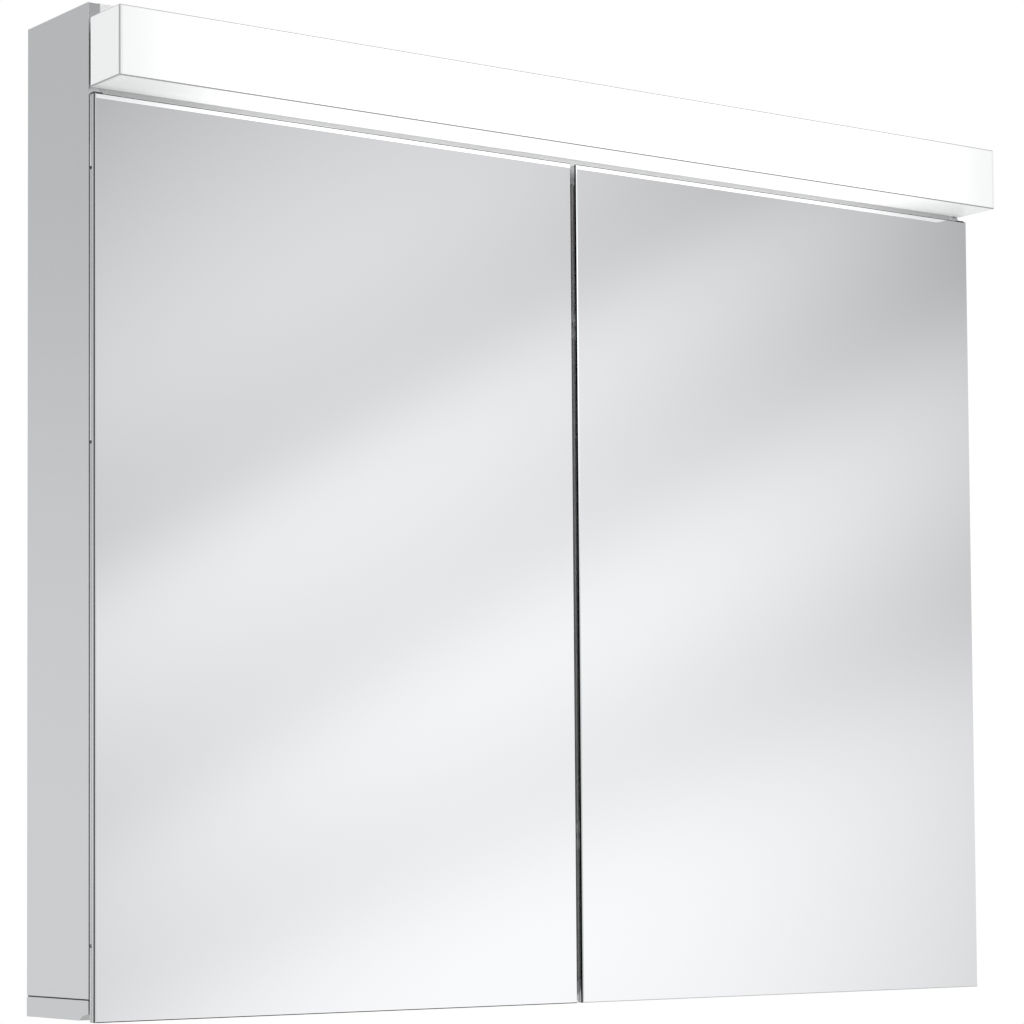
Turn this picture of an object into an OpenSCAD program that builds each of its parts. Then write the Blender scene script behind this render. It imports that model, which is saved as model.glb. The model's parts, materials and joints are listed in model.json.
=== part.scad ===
// Two-door mirror cabinet with a light box across its top front.
// X runs to the right, Y towards the wall, Z up. The origin is the centre of the wall face.

/* [Cabinet] */
// Width of the body, the doors and the light
cabinet_w = 900; // [800:10:1200]
// Height of the body
cabinet_h = 770; // [740:5:800]
// Depth of the side panels
cabinet_d = 100; // [95:1:130]
// Thickness of a side panel
side_t = 10; // [9:1:12]
// Height of the bottom profile and its end caps
bottom_h = 16; // [14:1:20]
// Thickness of the top panel
top_t = 12; // [10:1:14]
// Thickness of the back panel
back_t = 4; // [3:0.5:5]
// Thickness of the fascia behind the light
fascia_t = 3; // [2:0.5:4]
// Thickness of the centre partition
partition_t = 12; // [12:1:16]
// Thickness of the service compartment's floor
service_t = 10; // [8:1:12]
// Height from the body's top down to the underside of the service compartment's floor
service_h = 86; // [82:1:90]

/* [Finger groove] */
// Radius of the groove under the bottom profile
groove_r = 23.7; // [22:0.1:25]
// Depth of the groove from the front edge
groove_reach = 14.3; // [13:0.1:15]

/* [Doors] */
// Height of a door
door_h = 699; // [698:0.5:700]
// How far a door hangs below the body
door_drop = 1; // [0.5:0.5:2]
// Gap between a door and the body's front
door_gap = 2; // [1.8:0.1:2.2]
// Thickness of the door's frame profile
frame_t = 6; // [6:0.5:7]
// Width of the door's frame profile
frame_w = 14; // [14:1:18]
// Thickness of the front mirror
mirror_t = 3; // [3:0.5:4]
// Gap between the two front mirrors
centre_gap = 6; // [5:0.5:8]
// Width and depth of the shadow line round the frame profile
shadow_line = 0.6; // [0.3:0.1:0.8]
// Opening angle drawn in the file
door_angle = 0; // [0:5:105]

/* [Light] */
// Depth of the light box
light_d = 45; // [40:1:50]
// Height of the light box
light_h = 54; // [50:1:56]
// Gap between the light box and the body's front
light_gap = 3.5; // [3:0.5:5]
// Distance from the body's top to the light box's top
light_drop = 12; // [11:0.5:14]
// Thickness of the opal plates
opal_t = 3; // [2:0.5:4]

/* [Inside] */
// Thickness of a glass shelf
shelf_t = 5; // [4:0.5:6]
// Depth of a glass shelf
shelf_d = 74; // [60:1:76]
// Travel of the light's push button
button_travel = 2.5; // [1:0.5:3]

/* [Hidden] */
$fn = 48;

// Body
half_w = cabinet_w / 2;
inner_w = half_w - side_t;
z_top = cabinet_h / 2;
z_bottom = -z_top;
front_y = -cabinet_d;
back_y = -back_t;
floor_z = z_bottom + bottom_h;
ceiling_z = z_top - service_h;
service_z = ceiling_z + service_t;
fascia_back_y = front_y + fascia_t;
body_gap = 0.1;
profile_wall = 2;
profile_rib_y = -50;
cap_line_h = 0.8;
cap_line_depth = 1.2;

// Shelves and their holes
shelf_count = 3;
shelf_gap = (ceiling_z - floor_z) / (shelf_count + 1);
shelf_rows_y = [-25, -70];
support_hole_r = 2.5;
support_hole_depth = 5;
support_pitch = 32;
support_flange = 1;
support_flange_r = 4;
spoon_t = 2;
support_drop = spoon_t + 1;
shelf_side_gap = 1.5;
shelf_back_gap = 6;
shelf_corner_r = 2;

// Doors, seen on the left one
door_bottom = z_bottom - door_drop;
door_top = door_bottom + door_h;
frame_back_y = front_y - door_gap;
frame_front_y = frame_back_y - frame_t;
mirror_front_y = frame_front_y - mirror_t;
mirror_edge_x = -centre_gap / 2;
mirror_overhang = 0.5;
frame_edge_x = mirror_edge_x - mirror_overhang;
core_t = frame_t / 2;
core_gap = 0.3;
line_inset = 2.4;
line_high_y = frame_back_y - line_inset;
line_low_y = line_high_y - shadow_line;

// Pivot hinges, seen on the left door
pivot_inset_x = 2.6;
pivot_inset_y = 3.5;
pivot_x = -half_w + pivot_inset_x;
pivot_y = frame_back_y - pivot_inset_y;
hinge_low_inset = 40;
hinge_high_inset = 42;
hinge_z = [floor_z + hinge_low_inset, ceiling_z - shelf_gap * 1.5, ceiling_z - hinge_high_inset];
pin_r = 1.1;
pin_bore_r = 1.15;
pin_l = 22;
eye_r = 2;
eye_clear_r = 2.25;
notch_relief = 0.15;
notch_y = pivot_y + notch_relief;
leaf_t = 2;
leaf_h = 40;
leaf_y = front_y + 3;
leaf_d = 30;
leaf_screw_z = 12;
leaf_screw_inset = 20;
leaf_screw_y = leaf_y + leaf_screw_inset;
ear_t = leaf_t;
ear_gap = 0.25;
notch_h = ear_t + 2 * ear_gap;
ear_step = 1.4;
ear_relief = 0.4;
ear_narrow_x = pivot_x + 1.8;
ear_wide_x = -inner_w + 3.5;
ear_back_y = leaf_y + 6;

// Screws
screw_r = 1.9;
screw_hole_r = 2;
screw_head_r = 3.5;
screw_head_t = 1.6;
screw_joint = 0.3;
screw_l = 8;

// Fixings on the wall
wall_screw_inset = 60;
wall_screw_top_drop = 39;
wall_screw_bottom_rise = 69;
wall_screw_x = half_w - wall_screw_inset;
wall_screw_top_z = ceiling_z - wall_screw_top_drop;
wall_screw_bottom_z = floor_z + wall_screw_bottom_rise;
wall_hole_r = 3.5;
hanger_w = 40;
hanger_h = 50;
hanger_t = 2.5;

// Brackets in the service compartment
bracket_leg = 26;
bracket_w = 20;
bracket_t = 2;
bracket_y = -60;
bracket_side_screw = 18;
bracket_level_screw = 16;

// Catches
catch_w = 28;
catch_h = 22;
catch_proud = 0.8;
strike_t = 0.8;
catch_inset = 120;
catch_z = [floor_z + catch_inset, ceiling_z - catch_inset];

// Light
light_screw_near_x = 60;
light_screw_far_x = half_w - 50;
light_screw_x = [-light_screw_far_x, -light_screw_near_x, light_screw_near_x, light_screw_far_x];
light_back_y = front_y - light_gap;
light_front_y = light_back_y - light_d;
light_top_z = z_top - light_drop;
light_bottom_z = light_top_z - light_h;
light_mid_z = (light_top_z + light_bottom_z) / 2;
base_t = 2;
spacer_w = half_w - 20;
spacer_h = 38;
board_h = 16;
board_t = 1.6;
board_w = half_w - 16;
chip_count = 36;
chip_size = 3.5;
chip_t = 0.8;
light_lead_x = -330;
light_lead_r = 3;
light_lead_hole_r = 4;

// Electrics
driver_size = [180, 44, 26];
driver_ear = 12;
driver_ear_t = 3;
driver_y = -70;
entry_x = -200;
entry_z = service_z + 32;
entry_hole_r = 11;
entry_bore_r = 5;
terminal_x = -150;
terminal_y = -62;
terminal_d = 22;
terminal_h = 18;
driver_x = 40;
driver_inlet_y = driver_y + driver_size[1] / 2;
lead_r = 2;
lead_bend = 8;
lead_back_y = -14;
switch_x = 300;
switch_y = -68;
button_r = 6;
button_bore_r = 6.3;
button_proud = 4;
switch_r = 9;
switch_flange_r = 12;
switch_flange_t = 1.5;
switch_top_z = service_z + 16;

// Draws its children on the left, or mirrored on the right
module on_side(side) {
    if (side == "left") children();
    else mirror([1, 0, 0]) children();
}

// A box from its low corner to its high corner
module block(low, high) {
    translate(low) cube(high - low);
}

// Cylinders that lie along X and Y and start at a point
module rod_x(start, r, l) {
    translate(start) rotate([0, 90, 0]) cylinder(r = r, h = l);
}

module rod_y(start, r, l) {
    translate(start) rotate([-90, 0, 0]) cylinder(r = r, h = l);
}

// A rectangle with round corners, from its low corner
module round_rect(low, size, r) {
    translate([low[0] + r, low[1]]) square([size[0] - 2 * r, size[1]]);
    translate([low[0], low[1] + r]) square([size[0], size[1] - 2 * r]);
    for (x = [low[0] + r, low[0] + size[0] - r], y = [low[1] + r, low[1] + size[1] - r])
        translate([x, y]) circle(r = r);
}

// Height of a shelf's underside, counted from the bottom
function shelf_z(i) = floor_z + shelf_gap * i;

// Rows of support holes that run in from a face at x, in the direction of dir
module support_holes(x, dir) {
    for (i = [1:shelf_count], step = [-1:1], y = shelf_rows_y)
        rod_x([dir > 0 ? x - 1 : x - support_hole_depth, y,
               shelf_z(i) - support_drop + step * support_pitch],
              support_hole_r, support_hole_depth + 1);
}

// Places its children at every screw in a left-hand side panel, heading along -X
module at_side_screws() {
    for (z = hinge_z, dz = [-leaf_screw_z, leaf_screw_z])
        translate([-inner_w + leaf_t, leaf_screw_y, z + dz]) children();
    for (z = [service_z + bracket_side_screw, z_top - top_t - bracket_side_screw])
        translate([-inner_w + bracket_t, bracket_y, z]) children();
}

// Places its children at the screws that hold the driver down
module at_driver_screws() {
    for (x = [driver_x - driver_ear / 2, driver_x + driver_size[0] + driver_ear / 2])
        translate([x, driver_y + driver_size[1] / 2, service_z + driver_ear_t]) children();
}

// Places its children at the screws through the fascia into the light's base, from behind
module at_light_screws() {
    for (x = light_screw_x) translate([x, fascia_back_y, light_mid_z]) children();
}

// Aluminium side panel with its shelf support and screw holes
module side_panel(side) {
    color([0.78, 0.79, 0.80]) on_side(side) difference() {
        block([-half_w, front_y, floor_z], [-inner_w, 0, z_top]);
        support_holes(-inner_w, -1);
        at_side_screws() rod_x([-screw_l, 0, 0], screw_hole_r, screw_l);
    }
}

// Outline of the finger groove, a round cut along the bottom's front edge
module groove_cut(x_low, x_high) {
    rise = sqrt(groove_r * groove_r - groove_reach * groove_reach);
    rod_x([x_low, front_y, z_bottom - rise], groove_r, x_high - x_low);
}

// Plastic end cap that plugs the bottom profile under a side panel, with a shadow line at its top
module bottom_end_cap(side) {
    tongue_l = 14;
    wall = profile_wall + body_gap;
    color([0.76, 0.77, 0.78]) on_side(side) difference() {
        union() {
            block([-half_w, front_y, z_bottom], [-inner_w, 0, floor_z]);
            block([-inner_w, profile_rib_y + wall, z_bottom + wall],
                  [-inner_w + tongue_l, back_y - wall, floor_z - wall]);
        }
        groove_cut(-half_w - 1, -inner_w + 1);
        block([-half_w - 1, front_y - 1, floor_z - cap_line_h],
              [-half_w + cap_line_depth, 1, floor_z + 1]);
    }
}

// Hollow aluminium bottom profile with the finger groove along its front
module bottom_profile() {
    wall = profile_wall;
    color([0.74, 0.75, 0.76]) difference() {
        block([-inner_w, front_y, z_bottom], [inner_w, back_y, floor_z]);
        groove_cut(-inner_w - 1, inner_w + 1);
        block([-inner_w - 1, profile_rib_y + wall, z_bottom + wall],
              [inner_w + 1, back_y - wall, floor_z - wall]);
        block([-inner_w - 1, front_y + groove_reach + wall, z_bottom + wall],
              [inner_w + 1, profile_rib_y, floor_z - wall]);
    }
}

module top_panel() {
    color([0.9, 0.9, 0.9]) difference() {
        block([-inner_w, fascia_back_y, z_top - top_t], [inner_w, back_y, z_top]);
        for (side = ["left", "right"]) on_side(side)
            translate([-inner_w + bracket_level_screw, bracket_y, z_top - top_t - 1])
                cylinder(r = screw_hole_r, h = screw_l + 1);
    }
}

// Plate that closes the service compartment and carries the light
module fascia() {
    color([0.86, 0.86, 0.87]) difference() {
        block([-inner_w, front_y, ceiling_z], [inner_w, fascia_back_y, z_top]);
        rod_y([light_lead_x, front_y - 1, light_mid_z], light_lead_hole_r, fascia_t + 2);
        at_light_screws() rod_y([0, -fascia_t - 1, 0], screw_hole_r, fascia_t + 2);
    }
}

module service_floor() {
    color([0.88, 0.88, 0.88]) difference() {
        block([-inner_w, fascia_back_y, ceiling_z], [inner_w, back_y, service_z]);
        translate([switch_x, switch_y, ceiling_z - 1])
            cylinder(r = switch_r + body_gap, h = service_t + 2);
        at_driver_screws() translate([0, 0, -screw_l]) cylinder(r = screw_hole_r, h = screw_l);
        for (side = ["left", "right"]) on_side(side)
            translate([-inner_w + bracket_level_screw, bracket_y, service_z - screw_l])
                cylinder(r = screw_hole_r, h = screw_l + 1);
    }
}

// Places its children at the four wall screws
module at_wall_screws() {
    for (x = [-wall_screw_x, wall_screw_x], z = [wall_screw_bottom_z, wall_screw_top_z])
        translate([x, 0, z]) children();
}

module back_panel() {
    color([0.87, 0.87, 0.87]) difference() {
        block([-inner_w, back_y, z_bottom], [inner_w, 0, z_top]);
        at_wall_screws() rod_y([0, back_y - 1, 0], wall_hole_r, back_t + 2);
        rod_y([entry_x, back_y - 1, entry_z], entry_hole_r, back_t + 2);
    }
}

// Steel plates that spread the pull of the wall screws
module hanger_plates() {
    color([0.7, 0.71, 0.72]) at_wall_screws() difference() {
        block([-hanger_w / 2, back_y - hanger_t, -hanger_h / 2],
              [hanger_w / 2, back_y, hanger_h / 2]);
        rod_y([0, back_y - hanger_t - 1, 0], wall_hole_r, hanger_t + 2);
    }
}

module centre_partition() {
    half_t = partition_t / 2;
    color([0.88, 0.88, 0.88]) difference() {
        block([-half_t, fascia_back_y, floor_z], [half_t, back_y, ceiling_z]);
        support_holes(half_t, -1);
        support_holes(-half_t, 1);
        for (z = catch_z) rod_y([0, fascia_back_y - 1, z], screw_hole_r, screw_l + 1);
    }
}

module shelf(side, i) {
    low_x = -inner_w + shelf_side_gap;
    high_x = -partition_t / 2 - shelf_side_gap;
    color([0.75, 0.87, 0.84, 0.45]) on_side(side)
        translate([0, 0, shelf_z(i)]) linear_extrude(shelf_t)
            round_rect([low_x, back_y - shelf_back_gap - shelf_d], [high_x - low_x, shelf_d],
                       shelf_corner_r);
}

// One shelf support in the wall at x = 0, reaching along +X under a shelf
module shelf_support() {
    spoon_l = 8;
    spoon_w = 10;
    end_gap = 2 * body_gap;
    rod_x([-support_hole_depth + end_gap, 0, -support_drop], support_hole_r - body_gap,
          support_hole_depth + support_flange);
    rod_x([0, 0, -support_drop], support_flange_r, support_flange);
    block([0, -spoon_w / 2, -spoon_t], [spoon_l, spoon_w / 2, 0]);
}

module shelf_supports(side) {
    color([0.8, 0.81, 0.82]) on_side(side)
        for (i = [1:shelf_count], y = shelf_rows_y) {
            translate([-inner_w, y, shelf_z(i)]) shelf_support();
            translate([-partition_t / 2, y, shelf_z(i)]) mirror([1, 0, 0]) shelf_support();
        }
}

// Steel angles that join the side panels to the top panel and the service floor
module corner_bracket() {
    difference() {
        union() {
            block([0, -bracket_w / 2, 0], [bracket_t, bracket_w / 2, bracket_leg]);
            block([0, -bracket_w / 2, 0], [bracket_leg, bracket_w / 2, bracket_t]);
        }
        rod_x([-1, 0, bracket_side_screw], screw_hole_r, bracket_t + 2);
        translate([bracket_level_screw, 0, -1]) cylinder(r = screw_hole_r, h = bracket_t + 2);
    }
}

module corner_brackets() {
    color([0.7, 0.71, 0.72]) for (side = ["left", "right"]) on_side(side) {
        translate([-inner_w, bracket_y, service_z]) corner_bracket();
        translate([-inner_w, bracket_y, z_top - top_t]) mirror([0, 0, 1]) corner_bracket();
    }
}

// Fixed leaf of a pivot hinge: a plate inside the side panel, with an ear round the pin
module hinge_leaf() {
    difference() {
        union() {
            block([-inner_w, leaf_y, -leaf_h / 2], [-inner_w + leaf_t, leaf_y + leaf_d, leaf_h / 2]);
            translate([0, 0, -ear_t / 2]) linear_extrude(ear_t) {
                translate([pivot_x, pivot_y]) circle(r = eye_r);
                polygon([[pivot_x, pivot_y], [ear_wide_x, pivot_y + ear_step],
                         [ear_wide_x, front_y - ear_relief], [ear_narrow_x, front_y - ear_relief]]);
                translate([-inner_w + body_gap, pivot_y + ear_step])
                    square([ear_wide_x + inner_w - body_gap, ear_back_y - pivot_y - ear_step]);
            }
        }
        translate([pivot_x, pivot_y, -ear_t]) cylinder(r = pin_bore_r, h = 2 * ear_t);
        for (dz = [-leaf_screw_z, leaf_screw_z])
            rod_x([-inner_w - 1, leaf_screw_y, dz], screw_hole_r, leaf_t + 2);
    }
}

module hinge_leaves(side) {
    color([0.72, 0.73, 0.74]) on_side(side)
        for (z = hinge_z) translate([0, 0, z]) hinge_leaf();
}

// A pan-head screw whose head sits on a face at z = 0 and whose shank runs down
module pan_screw() {
    cylinder(r = screw_head_r, h = screw_head_t);
    translate([0, 0, screw_joint - screw_l]) cylinder(r = screw_r, h = screw_l);
}

module cabinet_screws() {
    color([0.8, 0.8, 0.8]) {
        for (side = ["left", "right"]) on_side(side) {
            at_side_screws() rotate([0, 90, 0]) pan_screw();
            translate([-inner_w + bracket_level_screw, bracket_y, service_z + bracket_t]) pan_screw();
            translate([-inner_w + bracket_level_screw, bracket_y, z_top - top_t - bracket_t])
                mirror([0, 0, 1]) pan_screw();
        }
        for (z = catch_z) translate([0, fascia_back_y - 2, z]) rotate([90, 0, 0]) pan_screw();
        at_driver_screws() pan_screw();
        at_light_screws() rotate([-90, 0, 0]) pan_screw();
    }
}

// Double magnetic catches on the partition's front edge, one face for each door
module magnet_catches() {
    low_y = front_y - catch_proud;
    color([0.93, 0.93, 0.92]) for (z = catch_z) difference() {
        block([-catch_w / 2, low_y, z - catch_h / 2], [catch_w / 2, fascia_back_y, z + catch_h / 2]);
        rod_y([0, low_y - 1, z], screw_head_r + body_gap, fascia_back_y - 1 - low_y);
        rod_y([0, low_y - 1, z], screw_hole_r, catch_w);
    }
}

// Aluminium channel that stands the light off the fascia and carries its board
module light_base_profile() {
    x = half_w - opal_t - body_gap;
    low_z = light_bottom_z + opal_t + body_gap;
    high_z = light_top_z - opal_t - body_gap;
    lip = 6;
    color([0.8, 0.8, 0.81]) difference() {
        union() {
            block([-spacer_w, light_back_y, light_mid_z - spacer_h / 2],
                  [spacer_w, front_y, light_mid_z + spacer_h / 2]);
            block([-x, light_back_y - base_t, low_z], [x, light_back_y, high_z]);
            block([-x, light_back_y - lip, low_z], [x, light_back_y, low_z + base_t]);
            block([-x, light_back_y - lip, high_z - base_t], [x, light_back_y, high_z]);
        }
        rod_y([light_lead_x, light_back_y - base_t - 1, light_mid_z],
              light_lead_hole_r, base_t + light_gap + 2);
        at_light_screws() rod_y([0, -screw_l, 0], screw_hole_r, screw_l);
    }
}

// Opal plates: the front, and the underside and the top behind it, run between the end plates
module light_front_plate() {
    x = half_w - opal_t;
    color([1, 1, 1])
        block([-x, light_front_y, light_bottom_z], [x, light_front_y + opal_t, light_top_z]);
}

module light_level_plate(z) {
    x = half_w - opal_t;
    color([1, 1, 1]) block([-x, light_front_y + opal_t, z], [x, light_back_y, z + opal_t]);
}

module light_end_plate(side) {
    color([0.95, 0.95, 0.95]) on_side(side)
        block([-half_w, light_front_y, light_bottom_z],
              [-half_w + opal_t, light_back_y, light_top_z]);
}

module led_board() {
    y = light_back_y - base_t - board_t;
    color([0.95, 0.95, 0.93]) difference() {
        block([-board_w, y, light_mid_z - board_h / 2],
              [board_w, y + board_t, light_mid_z + board_h / 2]);
        rod_y([light_lead_x, y - 1, light_mid_z], light_lead_r + body_gap, board_t + 2);
    }
}

module led_chips() {
    pitch = 2 * board_w / chip_count;
    y = light_back_y - base_t - board_t - chip_t;
    color([0.98, 0.85, 0.4]) for (i = [0:chip_count - 1])
        translate([-board_w + pitch * (i + 0.5), y, light_mid_z])
            block([-chip_size / 2, 0, -chip_size / 2], [chip_size / 2, chip_t, chip_size / 2]);
}

module led_driver() {
    color([0.9, 0.9, 0.9]) difference() {
        translate([driver_x, driver_y, service_z]) {
            cube(driver_size);
            translate([-driver_ear, 0, 0])
                cube([driver_size[0] + 2 * driver_ear, driver_size[1], driver_ear_t]);
        }
        at_driver_screws() translate([0, 0, -driver_ear_t - 1])
            cylinder(r = screw_hole_r, h = driver_ear_t + 2);
    }
}

// Three-pole terminal block with its wire funnels
module terminal_block() {
    poles = 3;
    pole_w = 12;
    funnel_r = 2.2;
    funnel_z = 8;
    funnel_l = 5;
    well_r = 2.6;
    well_h = 6;
    color([0.92, 0.92, 0.9]) translate([terminal_x, terminal_y, service_z]) difference() {
        cube([poles * pole_w, terminal_d, terminal_h]);
        for (i = [0:poles - 1]) {
            rod_y([pole_w * (i + 0.5), -1, funnel_z], funnel_r, funnel_l + 1);
            translate([pole_w * (i + 0.5), terminal_d / 2, terminal_h - well_h])
                cylinder(r = well_r, h = well_h + 1);
        }
    }
}

// A lead of radius r through points, each step along one axis, with round bends
module lead(points, r) {
    last = len(points) - 1;
    for (i = [0:last - 1]) {
        step = points[i + 1] - points[i];
        dir = step / norm(step);
        start = points[i] + dir * (i == 0 ? 0 : lead_bend);
        length = norm(step) - (i == 0 ? 0 : lead_bend) - (i == last - 1 ? 0 : lead_bend);
        translate(start) rotate([0, acos(dir[2]), atan2(dir[1], dir[0])])
            cylinder(r = r, h = length);
        if (i < last - 1) {
            next_step = points[i + 2] - points[i + 1];
            next = next_step / norm(next_step);
            up = cross(dir, next);
            centre = points[i + 1] - lead_bend * dir + lead_bend * next;
            multmatrix([[-next[0], dir[0], up[0], centre[0]],
                        [-next[1], dir[1], up[1], centre[1]],
                        [-next[2], dir[2], up[2], centre[2]],
                        [0, 0, 0, 1]])
                rotate_extrude(angle = 90) translate([lead_bend, 0]) circle(r = r);
        }
    }
}

// Mains lead from the terminal block to the driver
module driver_lead() {
    x = terminal_x + 30;
    run_y = terminal_y - 20;
    turn_x = driver_x - 30;
    z = service_z + 8;
    color([0.95, 0.95, 0.95]) lead([
        [x, terminal_y, z], [x, run_y, z], [turn_x, run_y, z], [turn_x, driver_inlet_y, z],
        [driver_x, driver_inlet_y, z]
    ], lead_r);
}

// Low-voltage lead from the driver through the fascia into the light
module led_lead() {
    x = driver_x + 100;
    z = service_z + driver_size[2] / 2;
    color([0.95, 0.95, 0.95]) lead([
        [x, driver_y + driver_size[1], z], [x, lead_back_y, z], [light_lead_x, lead_back_y, z],
        [light_lead_x, lead_back_y, light_mid_z],
        [light_lead_x, light_back_y - base_t, light_mid_z]
    ], light_lead_r);
}

// Lead from the push-button switch to the driver
module switch_lead() {
    x = driver_x + 120;
    z = switch_top_z + 24;
    color([0.95, 0.95, 0.95]) lead([
        [switch_x, switch_y, switch_top_z], [switch_x, switch_y, z], [switch_x, driver_inlet_y, z],
        [x, driver_inlet_y, z], [x, driver_inlet_y, service_z + driver_size[2]]
    ], lead_r);
}

// Rubber grommet that lines the cable hole in the back panel
module cable_grommet() {
    flange_r = 15;
    flange_t = 2;
    color([0.2, 0.2, 0.2]) difference() {
        union() {
            rod_y([entry_x, back_y - flange_t, entry_z], flange_r, flange_t);
            rod_y([entry_x, back_y, entry_z], entry_hole_r - body_gap, back_t - 0.5);
        }
        rod_y([entry_x, back_y - flange_t - 1, entry_z], entry_bore_r, back_t + flange_t + 2);
    }
}

// Round push-button switch in the service floor
module switch_housing() {
    bore_low_z = ceiling_z - switch_flange_t - 1;
    bore_high_z = ceiling_z + service_t + button_travel + 1.5;
    color([0.85, 0.85, 0.85]) translate([switch_x, switch_y, 0]) difference() {
        union() {
            translate([0, 0, ceiling_z - switch_flange_t])
                cylinder(r = switch_flange_r, h = switch_flange_t);
            translate([0, 0, ceiling_z]) cylinder(r = switch_r, h = switch_top_z - ceiling_z);
        }
        translate([0, 0, bore_low_z]) cylinder(r = button_bore_r, h = bore_high_z - bore_low_z);
    }
}

module switch_button() {
    color([0.95, 0.95, 0.95]) translate([switch_x, switch_y, ceiling_z - switch_flange_t - button_proud])
        cylinder(r = button_r, h = button_proud + switch_flange_t + service_t);
}

// Draws its children on a door that is open by door_angle
module on_door(side) {
    on_side(side) translate([pivot_x, pivot_y, 0]) rotate([0, 0, -door_angle])
        translate([-pivot_x, -pivot_y, 0]) children();
}

module mirror_pane(side) {
    color([0.85, 0.88, 0.9]) on_door(side)
        block([-half_w, mirror_front_y, door_bottom], [mirror_edge_x, frame_front_y, door_top]);
}

// Hinge-side frame profile, notched and bored for its hinges
module hinge_stile(side) {
    color([0.78, 0.79, 0.8]) on_door(side) difference() {
        block([-half_w, frame_front_y, door_bottom], [-half_w + frame_w, frame_back_y, door_top]);
        block([-half_w - 1, line_low_y, door_bottom - 1],
              [-half_w + shadow_line, line_high_y, door_top + 1]);
        for (z = hinge_z) translate([0, 0, z]) {
            block([-half_w - 1, notch_y, -notch_h / 2],
                  [-half_w + frame_w + 1, frame_back_y + 1, notch_h / 2]);
            translate([pivot_x, pivot_y, -notch_h / 2]) cylinder(r = eye_clear_r, h = notch_h);
            translate([pivot_x, pivot_y, -pin_l / 2]) cylinder(r = pin_bore_r, h = pin_l);
        }
    }
}

module closing_stile(side) {
    color([0.78, 0.79, 0.8]) on_door(side) difference() {
        block([frame_edge_x - frame_w, frame_front_y, door_bottom],
              [frame_edge_x, frame_back_y, door_top]);
        block([frame_edge_x - shadow_line, line_low_y, door_bottom - 1],
              [frame_edge_x + 1, line_high_y, door_top + 1]);
    }
}

module door_rails(side) {
    low_x = -half_w + frame_w;
    high_x = frame_edge_x - frame_w;
    color([0.78, 0.79, 0.8]) on_door(side) for (z = [door_bottom, door_top - frame_w]) difference() {
        outer_z = z == door_bottom ? z : z + frame_w;
        block([low_x, frame_front_y, z], [high_x, frame_back_y, z + frame_w]);
        block([low_x - 1, line_low_y, outer_z - shadow_line],
              [high_x + 1, line_high_y, outer_z + shadow_line]);
    }
}

// A sheet inside the door's frame, between two depths
module door_infill(side, low_y, high_y) {
    on_door(side)
        block([-half_w + frame_w + core_gap, low_y, door_bottom + frame_w + core_gap],
              [frame_edge_x - frame_w - core_gap, high_y, door_top - frame_w - core_gap]);
}

module door_core(side) {
    color([0.6, 0.6, 0.58]) door_infill(side, frame_front_y, frame_front_y + core_t);
}

module inner_mirror(side) {
    color([0.85, 0.88, 0.9]) door_infill(side, frame_front_y + core_t, frame_back_y);
}

module hinge_pins(side) {
    color([0.75, 0.75, 0.75]) on_door(side) for (z = hinge_z)
        translate([pivot_x, pivot_y, z - pin_l / 2]) cylinder(r = pin_r, h = pin_l);
}

// Soft buffers near the door's free corners
module door_bumpers(side) {
    bumper_r = 4;
    bumper_t = door_gap - 0.4;
    x = frame_edge_x - frame_w / 2;
    color([0.8, 0.8, 0.8]) on_door(side) for (z = [floor_z - 5, ceiling_z + 7])
        rod_y([x, frame_back_y, z], bumper_r, bumper_t);
}

// Steel plates that the magnetic catches hold
module strike_plates(side) {
    plate_w = 10;
    x = frame_edge_x - 1;
    color([0.75, 0.76, 0.77]) on_door(side) for (z = catch_z)
        block([x - plate_w, frame_back_y, z - catch_h / 2],
              [x, frame_back_y + strike_t, z + catch_h / 2]);
}

// Dark plastic plug on top of the hinge-side profile
module stile_caps(side) {
    cap_w = 8;
    cap_h = 1.6;
    color([0.25, 0.25, 0.26]) on_door(side)
        block([-half_w, frame_front_y, door_top], [-half_w + cap_w, frame_back_y, door_top + cap_h]);
}

side_panel("left");  // side_panel_left
side_panel("right");  // side_panel_right
bottom_end_cap("left");  // bottom_end_cap_left
bottom_end_cap("right");  // bottom_end_cap_right
bottom_profile();
top_panel();
fascia();
service_floor();
back_panel();
centre_partition();
shelf("left", 1);  // shelf_left_1
shelf("left", 2);  // shelf_left_2
shelf("left", 3);  // shelf_left_3
shelf("right", 1);  // shelf_right_1
shelf("right", 2);  // shelf_right_2
shelf("right", 3);  // shelf_right_3
shelf_supports("left");  // shelf_supports_left
shelf_supports("right");  // shelf_supports_right
hanger_plates();
corner_brackets();
hinge_leaves("left");  // hinge_leaves_left
hinge_leaves("right");  // hinge_leaves_right
cabinet_screws();
magnet_catches();
light_base_profile();
light_front_plate();
light_level_plate(light_bottom_z);  // light_bottom_plate
light_level_plate(light_top_z - opal_t);  // light_top_plate
light_end_plate("left");  // light_end_plate_left
light_end_plate("right");  // light_end_plate_right
led_board();
led_chips();
led_driver();
terminal_block();
driver_lead();
led_lead();
switch_lead();
cable_grommet();
switch_housing();
switch_button();
mirror_pane("left");  // mirror_left
mirror_pane("right");  // mirror_right
hinge_stile("left");  // hinge_stile_left
hinge_stile("right");  // hinge_stile_right
closing_stile("left");  // closing_stile_left
closing_stile("right");  // closing_stile_right
door_rails("left");  // door_rails_left
door_rails("right");  // door_rails_right
door_core("left");  // door_core_left
door_core("right");  // door_core_right
inner_mirror("left");  // inner_mirror_left
inner_mirror("right");  // inner_mirror_right
hinge_pins("left");  // hinge_pins_left
hinge_pins("right");  // hinge_pins_right
door_bumpers("left");  // door_bumpers_left
door_bumpers("right");  // door_bumpers_right
strike_plates("left");  // strike_plates_left
strike_plates("right");  // strike_plates_right
stile_caps("left");  // stile_caps_left
stile_caps("right");  // stile_caps_right
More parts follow.
